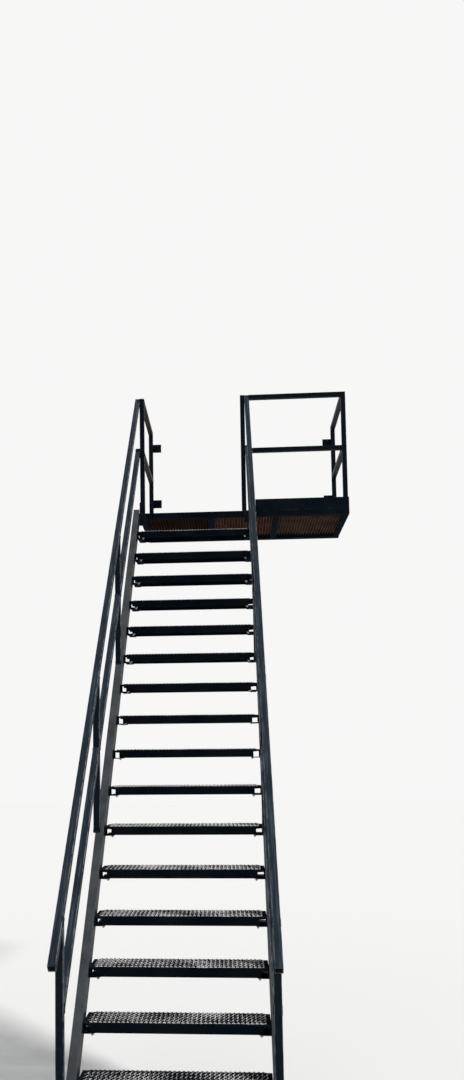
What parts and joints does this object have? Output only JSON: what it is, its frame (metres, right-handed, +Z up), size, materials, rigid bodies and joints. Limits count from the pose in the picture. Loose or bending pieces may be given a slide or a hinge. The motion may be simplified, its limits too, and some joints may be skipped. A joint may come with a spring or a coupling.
{
  "type": "fire escape stair",
  "caption": "Straight steel fire escape stair: serrated plank treads on tube stringers rise to a wall-hung grating landing with tube guards and open-ended handrails.",
  "frame": {"origin": "middle of the back face of the wall ledger, on the wall plane", "axes": "+X right along the wall as seen from the foot of the stair, +Y into the wall, +Z up; the ground is at z = -3.9615 m"},
  "size_m": [1.9591, 5.487, 5.0573],
  "materials": {
    "frame_paint": "black paint, dusty and worn at the edges",
    "rail_paint": "black paint with a grey sheen on upper faces",
    "tread_steel": "black paint with bright worn teeth",
    "rusty_grating": "paint gone to red-brown rust"
  },
  "bodies": {
    "root": {"stringer_left": "frame_paint", "stringer_right": "frame_paint", "foot_plates": "frame_paint", "tread_carriers_left": "tread_steel", "tread_carriers_right": "tread_steel", "tread_01": "tread_steel", "tread_02": "tread_steel", "tread_03": "tread_steel", "tread_04": "tread_steel", "tread_05": "tread_steel", "tread_06": "tread_steel", "tread_07": "tread_steel", "tread_08": "tread_steel", "tread_09": "tread_steel", "tread_10": "tread_steel", "tread_11": "tread_steel", "tread_12": "tread_steel", "tread_13": "tread_steel", "tread_14": "tread_steel", "tread_15": "tread_steel", "tread_16": "tread_steel", "deck_beam_front": "frame_paint", "deck_beam_rear": "frame_paint", "deck_beam_left": "frame_paint", "deck_beam_right": "frame_paint", "wall_ledger": "frame_paint", "deck_joists": "frame_paint", "deck_grating_left": "rusty_grating", "deck_grating_middle": "rusty_grating", "deck_grating_right": "rusty_grating", "toe_plate_front": "frame_paint", "toe_plate_left": "frame_paint", "toe_plate_right": "frame_paint", "guard_post_front_left": "rail_paint", "guard_post_front_right": "rail_paint", "guard_post_rear_left": "rail_paint", "guard_post_rear_right": "rail_paint", "guard_post_stair": "rail_paint", "guard_rails_front": "rail_paint", "guard_rails_left": "rail_paint", "guard_rails_right": "rail_paint", "wall_ties": "rail_paint", "stair_rails_left": "rail_paint", "stair_rails_right": "rail_paint", "stair_posts_left": "rail_paint", "stair_posts_right": "rail_paint"}
  },
  "joints": []
}
